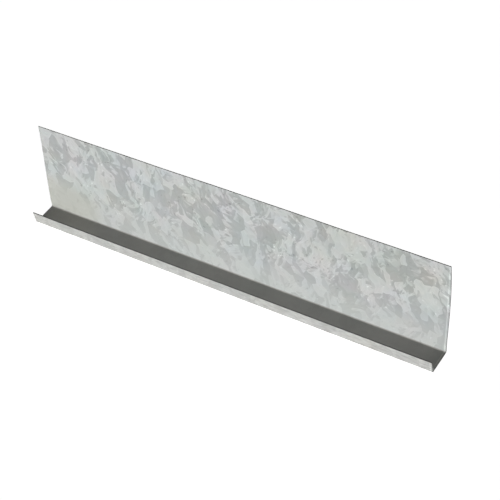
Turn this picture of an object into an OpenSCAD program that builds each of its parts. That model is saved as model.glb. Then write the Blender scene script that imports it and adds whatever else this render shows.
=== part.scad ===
// Casing bead: a plasterer's stop, roll-formed from one strip of galvanised steel sheet.
// A tall flange is fastened to the wall, a narrow web carries the edge of the plaster,
// and a short lip, leaning outward, finishes the plaster's face.
// +Z is up, X runs along the piece, and -Y is the side that the plaster fills.
// The origin is under the middle of the piece, on the floor that it stands on.

/* [Flange] */
// Overall height of the flange, from the floor to its top cut edge
flange_h = 88.9; // [40:0.1:150]

/* [Channel] */
// Ground, the depth of plaster that the bead sets: from the wall to the lip's outer face at its foot
ground = 25.4; // [12:0.1:40]

/* [Lip] */
// Length of the lip's inner face, up the slope from the channel's floor
lip_len = 12.7; // [6:0.1:25]
// Lean of the lip away from the flange, from upright
lip_lean = 12; // [0:1:45]

/* [Sheet] */
// Thickness of the galvanised sheet
sheet_t = 0.8; // [0.4:0.05:1.5]
// Inside radius of both bends
bend_r = 1.2; // [0.4:0.1:3]

/* [Piece] */
// Length of the cut piece
piece_len = 387; // [50:1:3050]

/* [Hidden] */
$fn = 96;
// Outside radius of both bends
bend_out = bend_r + sheet_t;
// Angle through which the sheet turns at the toe
toe_turn = 90 - lip_lean;
// The inner corner of the lip and the channel's floor, were it sharp, from the flange's back
toe_y = sheet_t - ground;
// Distance along either face from that sharp corner to where the toe bend begins
toe_tangent = bend_r * tan(toe_turn / 2);
// Centre of each bend, from the flange's back
heel_y = -bend_out;
toe_bend_y = toe_y + toe_tangent;
// How far the lip's tip reaches out from the flange's back, which sets the piece's full depth
lip_out = -toe_y + lip_len * sin(lip_lean) + sheet_t * cos(lip_lean);
// Straight part of the lip, above its bend
lip_straight = lip_len - toe_tangent;
// How far the shape that hollows the section out runs past its open edges
past = 2 * bend_out;

// All that lies on the channel's side of the sheet's face with radius r at the bends,
// out to the middle of each bend, and past that by over
module channel_side(r, over) {
    // flange
    translate([heel_y, bend_out])
        square([r, flange_h - bend_out + over]);
    // heel bend
    translate([heel_y, bend_out])
        circle(r = r);
    // web
    translate([toe_bend_y, bend_out - r])
        square([heel_y - toe_bend_y, r + over]);
    // toe bend and lip
    translate([toe_bend_y, bend_out])
        rotate(lip_lean) {
            circle(r = r);
            translate([-r, 0])
                square([r + over, lip_straight + over]);
        }
}

// The strip's section in Y and Z: one sheet thickness between its outer and inner faces
module section() {
    difference() {
        channel_side(bend_out, 0);
        channel_side(bend_r, past);
    }
}

module casing_bead() {
    color("silver")
        translate([-piece_len / 2, lip_out / 2, 0])
            rotate([90, 0, 90])
                linear_extrude(height = piece_len)
                    section();
}

casing_bead();
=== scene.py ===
# A casing bead of galvanised steel, standing on its web on a white studio floor

import math

import bpy
import numpy as np
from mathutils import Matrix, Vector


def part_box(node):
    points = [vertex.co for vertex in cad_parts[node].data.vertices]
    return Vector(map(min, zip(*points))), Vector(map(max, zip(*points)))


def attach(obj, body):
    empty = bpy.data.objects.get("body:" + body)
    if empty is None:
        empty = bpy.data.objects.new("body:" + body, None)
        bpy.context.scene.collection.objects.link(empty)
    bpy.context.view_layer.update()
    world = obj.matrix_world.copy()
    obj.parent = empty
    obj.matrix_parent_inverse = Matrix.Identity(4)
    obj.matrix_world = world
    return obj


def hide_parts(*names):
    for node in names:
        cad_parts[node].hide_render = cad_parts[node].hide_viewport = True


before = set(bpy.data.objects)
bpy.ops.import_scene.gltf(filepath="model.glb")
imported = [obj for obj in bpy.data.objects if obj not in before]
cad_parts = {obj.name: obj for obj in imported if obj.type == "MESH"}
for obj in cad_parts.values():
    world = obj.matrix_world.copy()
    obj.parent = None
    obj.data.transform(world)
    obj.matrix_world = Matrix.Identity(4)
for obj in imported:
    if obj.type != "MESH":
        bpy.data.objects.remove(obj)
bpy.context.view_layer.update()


# The bead is one strip of hot-dip galvanised sheet, roll-formed lengthways into a J: a tall
# flange that is nailed to the wall, a narrow web, and a lip that leans outward. It is cut to
# length with shears, so its ends and long edges show a thin line of bare metal.

MM = 0.001
low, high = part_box("casing_bead")
LENGTH = high.x - low.x
FLANGE_BACK = high.y
HEIGHT = high.z
SHEET = 0.8 * MM
BEND_INSIDE = 1.2 * MM
GROUND = 25.4 * MM
LIP_LENGTH = 12.7 * MM
LIP_LEAN = math.radians(12)

# Rounding that the shears and rolls leave on every cut edge
EDGE_ROUND = 0.12 * MM

# The flange isn't quite flat. Each wave along it has a share of the depth, a length over two pi,
# a phase at the middle of the piece, and how far that phase moves from the heel to the top edge.
WAVE_DEPTH = 0.22 * MM
WAVES = ((1, 61 * MM, 0.8, 0), (0.6, 27 * MM, -1.1, 2), (0.35, 13 * MM, 0, 3))

# Near its right end it also springs towards its back
END_SPRING = 1.0 * MM
END_SPRING_REACH = 70 * MM

# Both ends were sheared a little out of line. Each pair is a distance down the strip from the
# flange's top, and how far the cut strays along the length there, in millimetres. The skin
# near the end strays with it, less and less, as far as the reach.
LEFT_CUT = [(0, 0.3), (20, 0.4), (45, -0.6), (76, -1.5), (86, -1.4), (110, 0.1), (122, 0.9)]
RIGHT_CUT = [(0, -0.8), (12, -0.2), (28, 0.15), (50, 0.15), (76, -0.2), (90, 0), (122, 0)]
CUT_REACH = 40 * MM

# Steps of the mesh in each part of the section, and along the piece
FLANGE_STEPS = 36
HEEL_STEPS = 12
WEB_STEPS = 10
TOE_STEPS = 11
LIP_STEPS = 7
LENGTH_STEPS = 98

# The outer face's part of the strip map lies this far past the inner face's part
BACK_STARTS = 250 * MM


def strip_path():
    """Middle line of the sheet in Y and Z from the flange's top to the lip's tip, as straight
    runs joined by arcs of the bends' middle radius. Gives points, normals towards the outer
    face, and the distance travelled along the strip."""
    middle = BEND_INSIDE + SHEET / 2
    outside = BEND_INSIDE + SHEET
    toe_turn = math.pi / 2 - LIP_LEAN
    toe_tangent = BEND_INSIDE * math.tan(toe_turn / 2)
    heel_y = FLANGE_BACK - outside
    toe_y = FLANGE_BACK - GROUND + SHEET + toe_tangent

    flange_z = np.linspace(HEIGHT, outside, FLANGE_STEPS + 1)
    flange = np.stack([np.full_like(flange_z, heel_y + middle), flange_z], 1)
    flange_out = np.tile([1.0, 0.0], (len(flange), 1))

    heel_angle = np.linspace(0, -math.pi / 2, HEEL_STEPS + 1)[1:]
    heel_out = np.stack([np.cos(heel_angle), np.sin(heel_angle)], 1)
    heel = [heel_y, outside] + middle * heel_out

    web_y = np.linspace(heel_y, toe_y, WEB_STEPS + 1)[1:]
    web = np.stack([web_y, np.full_like(web_y, outside - middle)], 1)
    web_out = np.tile([0.0, -1.0], (len(web), 1))

    toe_angle = -math.pi / 2 - np.linspace(0, toe_turn, TOE_STEPS + 1)[1:]
    toe_out = np.stack([np.cos(toe_angle), np.sin(toe_angle)], 1)
    toe = [toe_y, outside] + middle * toe_out

    up_lip = np.array([-math.sin(LIP_LEAN), math.cos(LIP_LEAN)])
    lip_run = np.linspace(0, LIP_LENGTH - toe_tangent, LIP_STEPS + 1)[1:]
    lip = toe[-1] + lip_run[:, None] * up_lip
    lip_out = np.tile(toe_out[-1], (len(lip), 1))

    points = np.concatenate([flange, heel, web, toe, lip])
    outward = np.concatenate([flange_out, heel_out, web_out, toe_out, lip_out])
    gaps = np.hypot(*np.diff(points, axis=0).T)
    return points, outward, np.concatenate([[0], np.cumsum(gaps)])


def out_of_flat(x, height):
    """How far the flange stands from flat, towards its back. Its waves are sines along the
    length that grow from the heel to the top edge with the power 1.5 of the height. The spring
    is a half sine over the height, faded in by a smooth step along the length."""
    bend = BEND_INSIDE + SHEET
    up = np.clip((height - bend) / (HEIGHT - bend), 0, 1)
    waves = 0
    for share, wave, phase, drift in WAVES:
        waves = waves + share * np.sin(x / wave + phase + drift * up)
    reach = np.clip((x - LENGTH / 2 + END_SPRING_REACH) / END_SPRING_REACH, 0, 1)
    spring = reach * reach * (3 - 2 * reach) * np.sin(math.pi * up)
    return WAVE_DEPTH * up**1.5 * waves + END_SPRING * spring


def out_of_line(x, travel):
    """How far the cuts move each point along the length: straight pieces between the places of
    an end's cut, times a ramp from nothing at CUT_REACH before that end to one at the end."""
    stray = 0
    for end, cut in ((-1, LEFT_CUT), (1, RIGHT_CUT)):
        down, along = np.array(cut).T * MM
        near = np.clip((end * x - LENGTH / 2 + CUT_REACH) / CUT_REACH, 0, 1)
        stray = stray + near[:, None] * np.interp(travel, down, along)[None]
    return stray


def strip_mesh():
    """A closed skin round the strip. Round the section it goes down the outer face, over the
    lip's cut edge, up the inner face and over the flange's cut edge. Along the piece the
    section is repeated, and over the last stretch at each end it draws in by a quarter circle.
    Gives points, faces, each point's place on the strip map, and which faces are cut edge."""
    points, outward, travel = strip_path()
    count = len(points)
    quarter = np.radians([0, 30, 60, 90])
    run_in = LENGTH / 2 - EDGE_ROUND + EDGE_ROUND * np.sin(quarter)
    even = np.linspace(-1, 1, LENGTH_STEPS + 1)[1:-1] * (LENGTH / 2 - EDGE_ROUND)
    x = np.concatenate([-run_in[::-1], even, run_in])
    at_end = EDGE_ROUND * (1 - np.cos(quarter))
    draw_in = np.concatenate([at_end[::-1], np.zeros(len(even)), at_end])

    # each point of the closed section: its station, how far across the sheet, how far past the
    # station, and one on the lip's cut edge, minus one on the flange's
    half = SHEET / 2
    corner = half - EDGE_ROUND + EDGE_ROUND * np.cos(quarter)
    past = EDGE_ROUND * np.sin(quarter) - EDGE_ROUND
    tip_across = np.concatenate([corner, -corner[::-1]])
    tip_past = np.concatenate([past, past[::-1]])
    run = np.arange(1, count - 1)
    face = np.zeros(len(run))
    tip = np.ones(len(tip_past))
    station = np.concatenate([run, np.full(len(tip), count - 1), run[::-1], np.zeros(len(tip), int)])
    across = np.concatenate([face + half, tip_across, face - half, -tip_across])
    beyond = np.concatenate([face, tip_past, face, -tip_past])
    edge = np.concatenate([face, tip, face, -tip])
    ahead = np.gradient(points, travel, axis=0)
    ahead /= np.hypot(*ahead.T)[:, None]

    # near the ends the two faces draw together, and the long cut edges draw back
    thin = 1 - draw_in[:, None] / half
    place = points[station] + beyond[:, None] * ahead[station]
    yz = place[None] + (across * thin)[..., None] * outward[station][None]
    yz -= (draw_in[:, None] * edge)[..., None] * ahead[station][None]
    xs = np.repeat(x[:, None], len(station), 1)
    xs += out_of_line(x, travel[station])
    yz[..., 0] += out_of_flat(xs, np.where(travel[station] < HEIGHT, yz[..., 1], 0))
    verts = np.concatenate([xs[..., None], yz], 2).reshape(-1, 3)

    rows, ring = len(x), len(station)
    i, j = np.meshgrid(np.arange(rows - 1), np.arange(ring), indexing="ij")
    k = (j + 1) % ring
    skin = np.stack([i * ring + j, (i + 1) * ring + j, (i + 1) * ring + k, i * ring + k], -1)
    # each end is closed by quads from the outer face across to the inner one
    lip_tip = len(run) + len(quarter)
    outer = np.arange(-len(quarter), lip_tip)
    inner = (2 * lip_tip - 1 - outer) % ring
    outer %= ring
    cap = np.stack([outer[:-1], outer[1:], inner[1:], inner[:-1]], -1)
    faces = np.concatenate([skin.reshape(-1, 4), cap, cap[:, ::-1] + (rows - 1) * ring])

    long_cut = (edge != 0) & (np.roll(edge, -1) == edge)
    end_cut = np.minimum(np.arange(rows - 1), np.arange(rows - 1)[::-1]) < len(quarter) - 1
    cut_skin = long_cut[None] | end_cut[:, None]
    cut = np.concatenate([cut_skin.ravel(), np.ones(2 * len(cap), bool)])
    along_strip = np.stack([xs, np.repeat((travel[station] + beyond)[None], rows, 0)], -1)
    along_strip[:, across > 0] += [0, BACK_STARTS]
    return verts, faces, along_strip.reshape(-1, 2), cut


verts, faces, along_strip, cut = strip_mesh()
bead_mesh = bpy.data.meshes.new("bead_strip")
bead_mesh.from_pydata(verts.tolist(), [], faces.tolist())
corners = np.zeros(len(bead_mesh.loops), np.int32)
bead_mesh.loops.foreach_get("vertex_index", corners)
strip_map = bead_mesh.uv_layers.new(name="strip")
strip_map.uv.foreach_set("vector", along_strip[corners].ravel())
cut_mark = bead_mesh.attributes.new("cut_edge", "FLOAT", "FACE")
cut_mark.data.foreach_set("value", cut.astype(np.float32))
bead_mesh.shade_smooth()
bead_mesh.update()
bead = bpy.data.objects.new("bead_strip", bead_mesh)
bpy.context.scene.collection.objects.link(bead)
even_normals = bead.modifiers.new("even_normals", "WEIGHTED_NORMAL")
even_normals.mode = "FACE_AREA"


def linear(code):
    """An sRGB hex colour as linear red, green and blue, with an alpha of one."""
    channels = [int(code[n:n + 2], 16) / 255 for n in (1, 3, 5)]
    return [c / 12.92 if c < 0.04045 else ((c + 0.055) / 1.055) ** 2.4 for c in channels] + [1.0]


def add(tree, kind, inputs, **options):
    """Adds a node of a kind, sets its options, then sets or links its inputs by name or number.
    An input given as a node takes that node's first output. A MapRange takes its value as 0,
    the range it comes from as 1 and 2, and the range it goes to as 3 and 4, zero to one if not
    given. A colour Mix takes its share as 0 and its colours as 6 and 7, and gives output 2."""
    made = tree.nodes.new("ShaderNode" + kind)
    for name, value in options.items():
        setattr(made, name, value)
    for name, value in inputs.items():
        if isinstance(value, bpy.types.Node):
            value = value.outputs[0]
        if isinstance(value, bpy.types.NodeSocket):
            tree.links.new(value, made.inputs[name])
        else:
            made.inputs[name].default_value = value
    return made


# Hot-dip galvanised steel with a spangle: the zinc froze into grains of crystal fronds that
# overlap like frost on a window. The film of oxide on it scatters most of the light, so each
# frond is a flat soft grey of its own, some cool and some warm, and none is mirror-bright.
zinc = bpy.data.materials.new("hot_dip_galvanised_spangle")
zinc.use_nodes = True
tree = zinc.node_tree
tree.nodes.clear()

# Length and width, in millimetres, of the grains, the fronds in them, the needles between
# fronds, and the space that each speck has to itself. Real specks are a third of a millimetre,
# and are drawn coarser so that they show.
GRAIN = (12.5, 6.5)
FROND = (8.0, 3.0)
NEEDLE = (4.4, 1.5)
SPECK = (2.4, 2.4)
# The larger patches, in millimetres too: where fronds grew one way, where the melt drifted and
# how far, where it was restless, and where the oxide has one tint
REGION = (24.0, 24.0)
EDDY = 13.0
DRIFT = (7.0, 7.0, 0.0)
RESTLESS = 26.0
TINT = 34.0
# The way that grains lie, and the two ways between which fronds grow
GRAIN_LIES = math.radians(-68)
FRONDS_FROM = math.radians(-10)
FRONDS_TO = math.radians(-170)


def crystals(tree, place, size):
    """Patches with straight sides, each the part of the plane that is nearest to its own random
    middle, about size apart. Gives the place in sizes, the patches, and three random numbers
    from zero to one for each patch."""
    in_sizes = add(tree, "VectorMath", {0: place, 1: (1 / size[0], 1 / size[1], 0)}, operation="MULTIPLY")
    patches = add(tree, "TexVoronoi", {"Vector": in_sizes, "Scale": 1.0}, voronoi_dimensions="2D")
    chances = add(tree, "SeparateColor", {0: patches.outputs["Color"]})
    return in_sizes, patches, chances


def painted_slope_shade(tree, place, patches, rise):
    """Painted shading that rises from side to side of each patch, lighter at one side and darker at the
    other: the way from the patch's middle to the place, times the rise along each axis, added up."""
    inside = add(tree, "VectorMath", {0: place, 1: patches.outputs["Position"]}, operation="SUBTRACT")
    return add(tree, "VectorMath", {0: inside, 1: (*rise, 0)}, operation="DOT_PRODUCT").outputs["Value"]


strip_place = add(tree, "UVMap", {}, uv_map="strip")
in_mm = add(tree, "VectorMath", {0: strip_place, "Scale": 1 / MM}, operation="SCALE")

# The melt drifted before it froze, so every outline is bent a little
eddy = add(tree, "TexNoise", {"Vector": in_mm, "Scale": 1 / EDDY, "Detail": 1.0}, noise_dimensions="2D")
eddy = add(tree, "VectorMath", {0: eddy.outputs["Color"], 1: (0.5, 0.5, 0.5)}, operation="SUBTRACT")
bent = add(tree, "VectorMath", {0: eddy, 1: DRIFT, 2: in_mm}, operation="MULTIPLY_ADD")

# Grains are flat patches, longer down the flange than along it. Neighbours often froze alike,
# over two or three grains, so that they join into larger patches. The scale is per grain.
ALIKE_SCALE = 0.42
lying = add(tree, "VectorRotate", {0: bent, "Angle": GRAIN_LIES}, rotation_type="Z_AXIS")
in_grain, grain, of_grain = crystals(tree, lying, GRAIN)
grain_middle = grain.outputs["Position"]
alike = add(tree, "TexNoise", {"Vector": grain_middle, "Scale": ALIKE_SCALE, "Detail": 2.0},
            noise_dimensions="2D")

# Where the melt was restless, small fronds, needles and specks crowd together. Elsewhere the
# grains lie plain. The crowds come in over this part of the noise.
CROWDED = (0.40, 0.56)
crowd = add(tree, "TexNoise", {"Vector": in_mm, "Scale": 1 / RESTLESS, "Detail": 1.0}, noise_dimensions="2D")
crowd = add(tree, "MapRange", {0: crowd, 1: CROWDED[0], 2: CROWDED[1]}, interpolation_type="SMOOTHSTEP")

# In each region the fronds grew one way, any but straight along the strip. Those whose chance
# is past the first value stand out light, and those below the second dark, by the first of the
# two shares outside the crowds and by the second in them.
LIGHT_FROND = 0.76
DARK_FROND = 0.18
FROND_SHARES = (0.06, 0.23)
of_region = crystals(tree, bent, REGION)[2]
growth = add(tree, "MapRange", {0: of_region, 3: FRONDS_FROM, 4: FRONDS_TO})
turned = add(tree, "VectorRotate", {0: bent, "Angle": growth}, rotation_type="Z_AXIS")
in_frond, frond, of_frond = crystals(tree, turned, FROND)
light_frond = add(tree, "Math", {0: of_frond.outputs[1], 1: LIGHT_FROND}, operation="GREATER_THAN")
dark_frond = add(tree, "Math", {0: of_frond.outputs[1], 1: DARK_FROND}, operation="LESS_THAN")
stands_out = add(tree, "Math", {0: light_frond, 1: dark_frond}, operation="SUBTRACT")
frond_share = add(tree, "MapRange", {0: crowd, 3: FROND_SHARES[0], 4: FROND_SHARES[1]})

# Needles lie the same way, light and dark, and only in the crowds
in_needle, needle, of_needle = crystals(tree, turned, NEEDLE)
needled = add(tree, "Math", {0: of_needle.outputs[1], 1: 0.5}, operation="SUBTRACT")
needled = add(tree, "Math", {0: needled, 1: crowd}, operation="MULTIPLY")

# A few specks in a hundred are bright dots, which are painted glints, and a few are dark dots, weaker
# outside the crowds. A dot's radius is a share of a speck's space.
BRIGHT_SPECK = 0.955
DARK_SPECK = 0.06
DOT = 0.34
SPECK_SHARES = (0.4, 1.0)
speck, of_speck = crystals(tree, bent, SPECK)[1:]
bright = add(tree, "Math", {0: of_speck, 1: BRIGHT_SPECK}, operation="GREATER_THAN")
dark = add(tree, "Math", {0: of_speck, 1: DARK_SPECK}, operation="LESS_THAN")
dot = add(tree, "Math", {0: speck.outputs["Distance"], 1: DOT}, operation="LESS_THAN")
speck_share = add(tree, "MapRange", {0: crowd, 3: SPECK_SHARES[0], 4: SPECK_SHARES[1]})
dot = add(tree, "Math", {0: dot, 1: speck_share}, operation="MULTIPLY")
specked = add(tree, "Math", {0: bright, 1: dark}, operation="SUBTRACT")
specked = add(tree, "Math", {0: specked, 1: dot}, operation="MULTIPLY")

# Tone of the crystal, about a half: shares of what neighbours have alike, of what each grain
# has of its own, of the fronds and of the needles, and a shift to the middle
ALIKE_SHARE = 1.04
OWN_SHARE = 0.36
NEEDLE_SHARE = 0.28
SHIFT = -0.185
tone = add(tree, "Math", {0: alike, 1: ALIKE_SHARE, 2: SHIFT}, operation="MULTIPLY_ADD")
tone = add(tree, "Math", {0: of_grain.outputs[1], 1: OWN_SHARE, 2: tone}, operation="MULTIPLY_ADD")
tone = add(tree, "Math", {0: stands_out, 1: frond_share, 2: tone}, operation="MULTIPLY_ADD")
tone = add(tree, "Math", {0: needled, 1: NEEDLE_SHARE, 2: tone}, operation="MULTIPLY_ADD")

# Two greys in the main, with a quick step between them, each at its tone
DARKEST = (0.10, "#A8ABAA")
LIGHTEST = (0.95, "#CACDCC")
GREY_STEPS = ((0.44, "#B0B3B2"), (0.48, "#B6B9B8"), (0.52, "#BEC1C0"), (0.56, "#C3C6C5"))
crystal = add(tree, "ValToRGB", {0: tone})
greys = crystal.color_ramp.elements
for grey, (at_tone, code) in zip(greys, (DARKEST, LIGHTEST)):
    grey.position = at_tone
    grey.color = linear(code)
for at_tone, code in GREY_STEPS:
    greys.new(at_tone).color = linear(code)

# Painted shading: every crystal is painted lighter at one side and darker at the other, as if it sloped a
# little under the light, and its far rim is crisp
grain_slope_shade = painted_slope_shade(tree, in_grain, grain, (0.008, 0.016))
frond_slope_shade = painted_slope_shade(tree, in_frond, frond, (0.01, 0.04))
needle_slope_shade = painted_slope_shade(tree, in_needle, needle, (0.02, 0.08))
needle_slope_shade = add(tree, "Math", {0: needle_slope_shade, 1: crowd}, operation="MULTIPLY")
painted_slopes = add(tree, "Math", {0: grain_slope_shade, 1: frond_slope_shade}, operation="ADD")
painted_slopes = add(tree, "Math", {0: painted_slopes, 1: needle_slope_shade}, operation="ADD")

# A grain's rim is a fine ridge, which ends between these shares of the grain's size. It carries a painted
# highlight on a light grain and painted shade on a dark one. Bright specks carry painted glints, and dark
# specks sit dark.
RIDGE = (0.02, 0.14)
RIDGE_PAINTED_LIGHT = 0.035
SPECK_PAINTED_GLINT = 0.23
rim = add(tree, "TexVoronoi", {"Vector": in_grain, "Scale": 1.0}, voronoi_dimensions="2D",
          feature="DISTANCE_TO_EDGE")
ridge = add(tree, "MapRange", {0: rim, 1: RIDGE[0], 2: RIDGE[1], 3: 1.0, 4: 0.0})
ridge_painted_light = add(tree, "MapRange", {0: tone, 1: 0.42, 2: 0.57, 3: -RIDGE_PAINTED_LIGHT, 4: RIDGE_PAINTED_LIGHT})
# Painted highlight and shade on the ridges, added to the painted slope shading
painted_light = add(tree, "Math", {0: ridge, 1: ridge_painted_light, 2: painted_slopes}, operation="MULTIPLY_ADD")
painted_light = add(tree, "Math", {0: specked, 1: SPECK_PAINTED_GLINT, 2: painted_light}, operation="MULTIPLY_ADD")

# Red and blue each wander by a few hundredths from patch to patch, so the grey is here a little
# green, there a little blue or violet: the least of each, and how far it swings
TINT_LEAST = (0.917, 1.012, 0.929)
TINT_SWING = (0.19, 0, 0.16)
tint = add(tree, "TexNoise", {"Vector": bent, "Scale": 1 / TINT, "Detail": 3.0, "Roughness": 0.68},
           noise_dimensions="2D")
tint = add(tree, "VectorMath", {0: tint.outputs["Color"], 1: TINT_SWING, 2: TINT_LEAST},
           operation="MULTIPLY_ADD")
# The painted highlights, glints and shading are added to the tint
tint = add(tree, "VectorMath", {0: tint, 1: painted_light}, operation="ADD")
tinted = add(tree, "Mix", {0: 1.0, 6: crystal, 7: tint}, data_type="RGBA", blend_type="MULTIPLY")

# The rolls that turned the heel pressed the spangle flatter there, on both sides of the bend.
# These are the millimetres down the strip over which that comes in, over which the flange's
# finish gives way to the web's, and the web's to the lip's. A place past the fourth value, which
# lies between the two faces' parts of the map, is on the outer face.
PRESSED = (42.0, 84.0)
AT_HEEL = (86.5, 88.5)
AT_TOE = (107.5, 109.5)
BETWEEN_FACES = 200.0
# How far the spangle is gone at the heel, what the web and the lip add to that, and the plain
# zinc that is left
GONE_AT_HEEL = 0.5
GONE_ON_WEB = 0.35
GONE_ON_LIP = 0.05
PRESSED_ZINC = "#C3C6C4"
along, down = add(tree, "SeparateXYZ", {0: in_mm}).outputs[:2]
on_back = add(tree, "Math", {0: down, 1: BETWEEN_FACES}, operation="GREATER_THAN")
depth = add(tree, "Math", {0: on_back, 1: -BACK_STARTS / MM, 2: down}, operation="MULTIPLY_ADD")
pressed = add(tree, "MapRange", {0: depth, 1: PRESSED[0], 2: PRESSED[1], 3: 0.0, 4: GONE_AT_HEEL},
              interpolation_type="SMOOTHSTEP")
past_heel = add(tree, "MapRange", {0: depth, 1: AT_HEEL[0], 2: AT_HEEL[1]}, interpolation_type="SMOOTHSTEP")
on_lip = add(tree, "MapRange", {0: depth, 1: AT_TOE[0], 2: AT_TOE[1]}, interpolation_type="SMOOTHSTEP")
on_web = add(tree, "Math", {0: past_heel, 1: on_lip}, operation="SUBTRACT")
pressed = add(tree, "Math", {0: on_web, 1: GONE_ON_WEB, 2: pressed}, operation="MULTIPLY_ADD")
pressed = add(tree, "Math", {0: on_lip, 1: GONE_ON_LIP, 2: pressed}, operation="MULTIPLY_ADD")
calm = add(tree, "Mix", {0: pressed, 6: tinted.outputs[2], 7: linear(PRESSED_ZINC)}, data_type="RGBA")


def stain(tree, place, middle, reach, fade, most):
    """How strong a round stain is at a place. The distance from its middle, counted in reaches,
    takes it from the most to nothing in a smooth step over the fade."""
    away = add(tree, "VectorMath", {0: place, 1: (*middle, 0)}, operation="SUBTRACT")
    away = add(tree, "VectorMath", {0: away, 1: (1 / reach[0], 1 / reach[1], 0)}, operation="MULTIPLY")
    away = add(tree, "VectorMath", {0: away}, operation="LENGTH").outputs["Value"]
    return add(tree, "MapRange", {0: away, 1: fade[0], 2: fade[1], 3: most, 4: 0.0},
               interpolation_type="SMOOTHSTEP")


# A smear of dried rolling oil has warmed the zinc low down near the left end, as far as the web.
# Its middle and its reach on the strip map are in millimetres.
SMEAR_MIDDLE = (-187, 82)
SMEAR_REACH = (64, 42)
SMEAR_FADE = (0.45, 1.0)
SMEAR_MOST = 0.62
SMEARED_ZINC = "#BABBB1"
smear = stain(tree, bent, SMEAR_MIDDLE, SMEAR_REACH, SMEAR_FADE, SMEAR_MOST)
off_web = add(tree, "MapRange", {0: depth, 1: AT_HEEL[0], 2: AT_HEEL[1], 3: 1.0, 4: 0.0})
smear = add(tree, "Math", {0: smear, 1: off_web}, operation="MULTIPLY")
smeared = add(tree, "Mix", {0: smear, 6: calm.outputs[2], 7: linear(SMEARED_ZINC)}, data_type="RGBA")

# A thin film of it, which the spangle shows through, lies along the top of the right half
FILM_MIDDLE = (128, 10)
FILM_REACH = (80, 36)
FILM_FADE = (0.5, 1.1)
OIL_FILM = "#FAFAF8"
film = stain(tree, bent, FILM_MIDDLE, FILM_REACH, FILM_FADE, 1.0)
filmed = add(tree, "Mix", {0: film, 6: smeared.outputs[2], 7: linear(OIL_FILM)},
             data_type="RGBA", blend_type="MULTIPLY")

# Painted shade: the web, which faces up, away from the lamps, is painted darker and a little warmer
WEB_PAINTED_SHADE = "#D4CFCD"
shaded_web = add(tree, "Mix", {0: on_web, 6: filmed.outputs[2], 7: linear(WEB_PAINTED_SHADE)},
             data_type="RGBA", blend_type="MULTIPLY")

# The rolls also left fine lines along the strip, this many millimetres long and wide. They are
# faint, by the first share, but by the second on the lip, which is a little warmer.
ROLL_LINE = (7.0, 1.7)
LINE_SHARES = (0.012, 0.5)
LIP_WARMTH = "#F9F6F4"
along_rolls = add(tree, "VectorMath", {0: in_mm, 1: (1 / ROLL_LINE[0], 1 / ROLL_LINE[1], 0)},
                  operation="MULTIPLY")
rolled = add(tree, "TexNoise", {"Vector": along_rolls, "Scale": 1.0, "Detail": 1.0}, noise_dimensions="2D")
rolled = add(tree, "Math", {0: rolled, 1: 0.5}, operation="SUBTRACT")
scored = add(tree, "MapRange", {0: on_lip, 3: LINE_SHARES[0], 4: LINE_SHARES[1]})
rolled = add(tree, "Math", {0: rolled, 1: scored}, operation="MULTIPLY")
lip_tone = add(tree, "Mix", {0: on_lip, 6: linear("#FFFFFF"), 7: linear(LIP_WARMTH)}, data_type="RGBA")
lip_tone = add(tree, "VectorMath", {0: lip_tone.outputs[2], 1: rolled}, operation="ADD")
lined = add(tree, "Mix", {0: 1.0, 6: shaded_web.outputs[2], 7: lip_tone},
            data_type="RGBA", blend_type="MULTIPLY")

# The shears dragged the rim of the right end over, and a fine line there, where the rim catches the light,
# is a painted highlight. It lies this many millimetres from the bead's middle, and fades between these
# distances from it.
HIGHLIGHT_LINE = 191.9
HIGHLIGHT_FADE = (0.2, 0.75)
HIGHLIGHT_GAIN = 1.32
from_line = add(tree, "Math", {0: along, 1: HIGHLIGHT_LINE}, operation="SUBTRACT")
from_line = add(tree, "Math", {0: from_line}, operation="ABSOLUTE")
brighter = add(tree, "MapRange",
               {0: from_line, 1: HIGHLIGHT_FADE[0], 2: HIGHLIGHT_FADE[1], 3: HIGHLIGHT_GAIN, 4: 1.0})
highlighted = add(tree, "VectorMath", {0: lined.outputs[2], "Scale": brighter}, operation="SCALE")

# They bared the steel at the cut edges, which is duller and darker than the zinc, and its colour is painted
# darker still, as painted shade on these thin faces
BARE_STEEL_AND_SHADE = "#5E5F5E"
bared = add(tree, "Attribute", {}, attribute_name="cut_edge").outputs["Fac"]
colour = add(tree, "Mix", {0: bared, 6: highlighted, 7: linear(BARE_STEEL_AND_SHADE)}, data_type="RGBA")

# Fronds differ a little in gloss, and every crystal stands up by its tone
ROUGHNESS = (0.48, 0.64)
RELIEF = 0.02 * MM
gloss = add(tree, "MapRange", {0: of_frond.outputs[2], 3: ROUGHNESS[0], 4: ROUGHNESS[1]})
relief = add(tree, "Bump", {"Height": tone, "Distance": RELIEF, "Strength": 0.5})
bsdf = add(tree, "BsdfPrincipled", {"Base Color": colour.outputs[2], "Roughness": gloss, "Normal": relief})
bsdf.inputs["Metallic"].default_value = 0.15
bsdf.inputs["Specular IOR Level"].default_value = 0.3
add(tree, "OutputMaterial", {0: bsdf})
bead_mesh.materials.append(zinc)

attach(bead, "root")
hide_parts("casing_bead")


# The studio floor is plain white paper, far larger than the bead. The camera sees it white, by a
# glow of its own and the light that falls on it, and it keeps a faint shadow.

REACH = 3.0
GLOW = 0.985
floor_mesh = bpy.data.meshes.new("floor")
floor_corners = [(-REACH, -REACH, 0), (REACH, -REACH, 0), (REACH, REACH, 0), (-REACH, REACH, 0)]
floor_mesh.from_pydata(floor_corners, [], [(0, 1, 2, 3)])
floor = bpy.data.objects.new("floor", floor_mesh)
bpy.context.scene.collection.objects.link(floor)


def looked_at(tree, seen):
    """One for rays that come straight from the camera, or by way of a shiny or a clear surface,
    and nothing for all others: the greatest of the three."""
    looked = add(tree, "Math", {0: seen.outputs["Is Camera Ray"], 1: seen.outputs["Is Glossy Ray"]},
                 operation="MAXIMUM")
    return add(tree, "Math", {0: looked, 1: seen.outputs["Is Transmission Ray"]}, operation="MAXIMUM")


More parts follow.
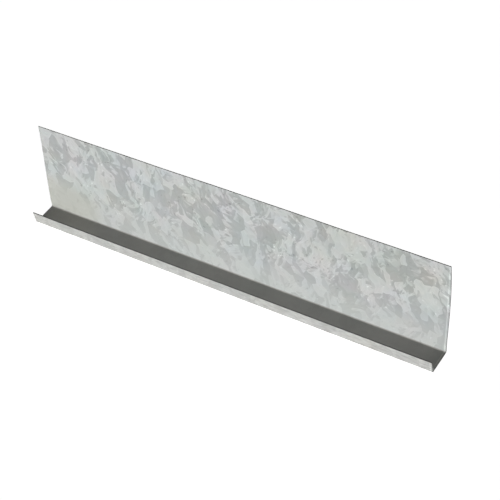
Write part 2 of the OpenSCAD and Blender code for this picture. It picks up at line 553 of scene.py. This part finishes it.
paper = bpy.data.materials.new("white_paper")
paper.use_nodes = True
tree = paper.node_tree
tree.nodes.clear()
seen = add(tree, "LightPath", {})
glow_level = add(tree, "Math", {0: looked_at(tree, seen), 1: GLOW}, operation="MULTIPLY")
glow = add(tree, "Emission", {0: linear("#FFFFFF"), 1: glow_level})
matt = add(tree, "BsdfDiffuse", {0: linear("#E0E0E0")})
both = add(tree, "AddShader", {0: glow, 1: matt})
add(tree, "OutputMaterial", {0: both})
floor_mesh.materials.append(paper)


# Plain light: a dim even room, and low soft boxes on all four sides that cast no shadow. They
# light what stands upright and leave what faces up, such as the web, dark, as the photo does.

DIM = 0.03
room = bpy.data.worlds.new("room")
bpy.context.scene.world = room
room.use_nodes = True
tree = room.node_tree
tree.nodes.clear()
seen = add(tree, "LightPath", {})
dim = add(tree, "Background", {0: linear("#FFFFFF"), 1: DIM})

# The camera sees the room white. Shiny and clear surfaces see its walls white, and its ceiling
# less bright, so that they don't pick up a glare from above.
upward = add(tree, "SeparateXYZ", {0: add(tree, "TexCoord", {}).outputs["Generated"]})
ceiling = add(tree, "MapRange", {0: upward.outputs[2], 1: 0.25, 2: 0.75, 3: 1.0, 4: 0.3})
overhead = add(tree, "Math", {0: ceiling, 1: seen.outputs["Is Camera Ray"]}, operation="MAXIMUM")
white = add(tree, "Background", {0: linear("#FFFFFF"), 1: overhead})
either = add(tree, "MixShader", {0: looked_at(tree, seen), 1: dim, 2: white})
add(tree, "OutputWorld", {0: either})


def soft_box(name, toward, ridge_painted_light):
    """A far lamp, four degrees wide, whose light travels level along a direction."""
    lamp = bpy.data.lights.new(name, "SUN")
    lamp.energy = ridge_painted_light
    lamp.angle = math.radians(4)
    lamp.use_shadow = False
    holder = bpy.data.objects.new(name, lamp)
    holder.visible_glossy = False
    holder.rotation_euler = (math.radians(90), 0, math.atan2(-toward[0], toward[1]))
    bpy.context.scene.collection.objects.link(holder)


soft_box("front_box", (0, 1), 3.1)
soft_box("back_box", (0, -1), 2.6)
soft_box("left_box", (1, 0), 0.7)
soft_box("right_box", (-1, 0), 1.6)


# The camera stands to the front and right, and looks down at the bead through a long lens. Its
# place was fitted to the edges in the photo.

AIM = (19.1 * MM, 9.9 * MM, 37.3 * MM)
DISTANCE = 1041.6 * MM
AZIMUTH = math.radians(33.751)
ELEVATION = math.radians(40.649)
ROLL = math.radians(-3.704)
FOCAL_LENGTH = 92.22

camera_data = bpy.data.cameras.new("camera")
camera_data.sensor_width = 36
camera_data.lens = FOCAL_LENGTH
camera = bpy.data.objects.new("camera", camera_data)
bpy.context.scene.collection.objects.link(camera)
level_out = DISTANCE * math.cos(ELEVATION)
camera.location = (
    AIM[0] + level_out * math.sin(AZIMUTH),
    AIM[1] - level_out * math.cos(AZIMUTH),
    AIM[2] + DISTANCE * math.sin(ELEVATION),
)
camera.rotation_euler = (math.pi / 2 - ELEVATION, 0, AZIMUTH)
camera.rotation_euler.rotate_axis("Z", ROLL)
bpy.context.scene.camera = camera
bpy.context.scene.view_settings.view_transform = "Standard"
